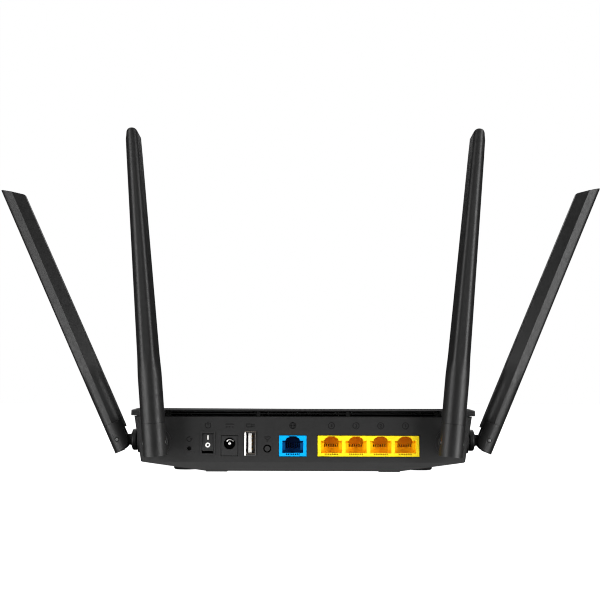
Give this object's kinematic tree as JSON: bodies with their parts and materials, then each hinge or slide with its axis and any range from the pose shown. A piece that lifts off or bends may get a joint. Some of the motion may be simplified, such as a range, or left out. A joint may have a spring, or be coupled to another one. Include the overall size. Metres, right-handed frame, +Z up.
{
  "type": "wireless router",
  "caption": "Low desktop wireless router with folding, swivelling antennas on its rear and sides, network sockets, power inlet and rocker switch on the rear panel.",
  "frame": {"origin": "centre of the bounding box of the whole object at rest, on the surface that the feet stand on", "axes": "+Z up, the rear panel with the sockets faces -Y, +X to the right of someone who looks at the rear panel"},
  "size_m": [0.386, 0.1682, 0.1942],
  "materials": {
    "case_plastic": "fine moulded texture, satin",
    "cover_plastic": "fine moulded texture, satin",
    "antenna_plastic": "very fine texture, satin",
    "black_plastic": "smooth satin",
    "grille_black": "matt",
    "rocker_plastic": "smooth, slightly glossy",
    "button_plastic": "smooth",
    "foot_rubber": "matt",
    "dark_steel": "blackened",
    "plain_steel": "tinned",
    "socket_metal": "nickel plated",
    "contact_gold": "gold plated",
    "white_plastic": "smooth",
    "blue_plastic": "smooth, slightly glossy",
    "yellow_plastic": "smooth, slightly glossy",
    "board_green": "solder mask",
    "chip_resin": "moulded resin",
    "thermal_silicone": "soft",
    "sink_aluminium": "extruded",
    "capacitor_sleeve": "shrunk sleeve",
    "ferrite_black": "pressed ferrite",
    "lead_jacket": "satin jacket",
    "label_foil": "blank satin foil",
    "clear_acrylic": "clear, frosted end",
    "led_resin": "lens",
    "element_copper": "printed copper on a strip"
  },
  "bodies": {
    "root": {"top_cover": "cover_plastic", "bottom_case": "case_plastic", "rear_vent_grille": "grille_black", "rubber_feet": "foot_rubber", "case_screws": "dark_steel", "rating_plate": "label_foil", "main_pcb": "board_green", "pcb_screws": "plain_steel", "led_light_guides": "clear_acrylic", "status_leds": "led_resin", "power_switch_frame": "black_plastic", "power_inlet": "black_plastic", "power_inlet_pin": "socket_metal", "usb_shell": "socket_metal", "usb_tongue": "white_plastic", "usb_contacts": "contact_gold", "wan_jack": "blue_plastic", "wan_contacts": "contact_gold", "lan_jack": "yellow_plastic", "lan_contacts": "contact_gold", "pairing_switch": "black_plastic", "reset_switch": "black_plastic", "soc_chip": "chip_resin", "thermal_pad": "thermal_silicone", "heat_sink": "sink_aluminium", "wifi_shields": "plain_steel", "memory_chips": "chip_resin", "lan_transformers": "chip_resin", "electrolytic_capacitors": "capacitor_sleeve", "power_inductors": "ferrite_black", "coax_cables": "lead_jacket"},
    "power_rocker": {"power_rocker": "rocker_plastic"},
    "pairing_button": {"pairing_button": "button_plastic"},
    "reset_plunger": {"reset_plunger": "button_plastic"},
    "rear_left_swivel": {"rear_left_swivel_base": "antenna_plastic", "rear_left_swivel_clip": "black_plastic"},
    "rear_left_blade": {"rear_left_hinge_pin": "dark_steel", "rear_left_sleeve": "antenna_plastic", "rear_left_radome": "antenna_plastic", "rear_left_element": "element_copper"},
    "rear_right_swivel": {"rear_right_swivel_base": "antenna_plastic", "rear_right_swivel_clip": "black_plastic"},
    "rear_right_blade": {"rear_right_hinge_pin": "dark_steel", "rear_right_sleeve": "antenna_plastic", "rear_right_radome": "antenna_plastic", "rear_right_element": "element_copper"},
    "side_left_swivel": {"side_left_swivel_base": "antenna_plastic", "side_left_swivel_clip": "black_plastic"},
    "side_left_blade": {"side_left_hinge_pin": "dark_steel", "side_left_sleeve": "antenna_plastic", "side_left_radome": "antenna_plastic", "side_left_element": "element_copper"},
    "side_right_swivel": {"side_right_swivel_base": "antenna_plastic", "side_right_swivel_clip": "black_plastic"},
    "side_right_blade": {"side_right_hinge_pin": "dark_steel", "side_right_sleeve": "antenna_plastic", "side_right_radome": "antenna_plastic", "side_right_element": "element_copper"}
  },
  "joints": [
    {"name": "power_rocker_tilt", "type": "hinge", "parent": "root", "child": "power_rocker", "pos_m": [-0.0518, -0.0609, 0.0163], "axis": [1, 0, 0], "range_deg": [0, 20]},
    {"name": "pairing_button_press", "type": "slide", "parent": "root", "child": "pairing_button", "axis": [0, 1, 0], "range_m": [0, 0.0005], "stiffness_N_per_m": 1500},
    {"name": "reset_plunger_press", "type": "slide", "parent": "root", "child": "reset_plunger", "axis": [0, 1, 0], "range_m": [0, 0.0005], "stiffness_N_per_m": 1500},
    {"name": "rear_left_swivel", "type": "hinge", "parent": "root", "child": "rear_left_swivel", "pos_m": [-0.0803, -0.0659, 0.0171], "axis": [0, 1, 0], "range_deg": [-85.1, 64.9]},
    {"name": "rear_left_tilt", "type": "hinge", "parent": "rear_left_swivel", "child": "rear_left_blade", "pos_m": [-0.0803, -0.0787, 0.0171], "axis": [0.9963, 0, 0.0854], "range_deg": [0, 90]},
    {"name": "rear_right_swivel", "type": "hinge", "parent": "root", "child": "rear_right_swivel", "pos_m": [0.0845, -0.0659, 0.0171], "axis": [0, 1, 0], "range_deg": [-65.5, 84.5]},
    {"name": "rear_right_tilt", "type": "hinge", "parent": "rear_right_swivel", "child": "rear_right_blade", "pos_m": [0.0845, -0.0787, 0.0171], "axis": [0.9954, 0, -0.0958], "range_deg": [0, 90]},
    {"name": "side_left_swivel", "type": "hinge", "parent": "root", "child": "side_left_swivel", "pos_m": [-0.1013, 0.0031, 0.016], "axis": [1, 0, 0], "range_deg": [-90, 90]},
    {"name": "side_left_tilt", "type": "hinge", "parent": "side_left_swivel", "child": "side_left_blade", "pos_m": [-0.1141, 0.0031, 0.016], "axis": [0, -1, 0], "range_deg": [-24.7, 65.3]},
    {"name": "side_right_swivel", "type": "hinge", "parent": "root", "child": "side_right_swivel", "pos_m": [0.1055, 0.0031, 0.016], "axis": [-1, 0, 0], "range_deg": [-90, 90]},
    {"name": "side_right_tilt", "type": "hinge", "parent": "side_right_swivel", "child": "side_right_blade", "pos_m": [0.1183, 0.0031, 0.016], "axis": [0, 1, 0], "range_deg": [-23.2, 66.8]}
  ]
}
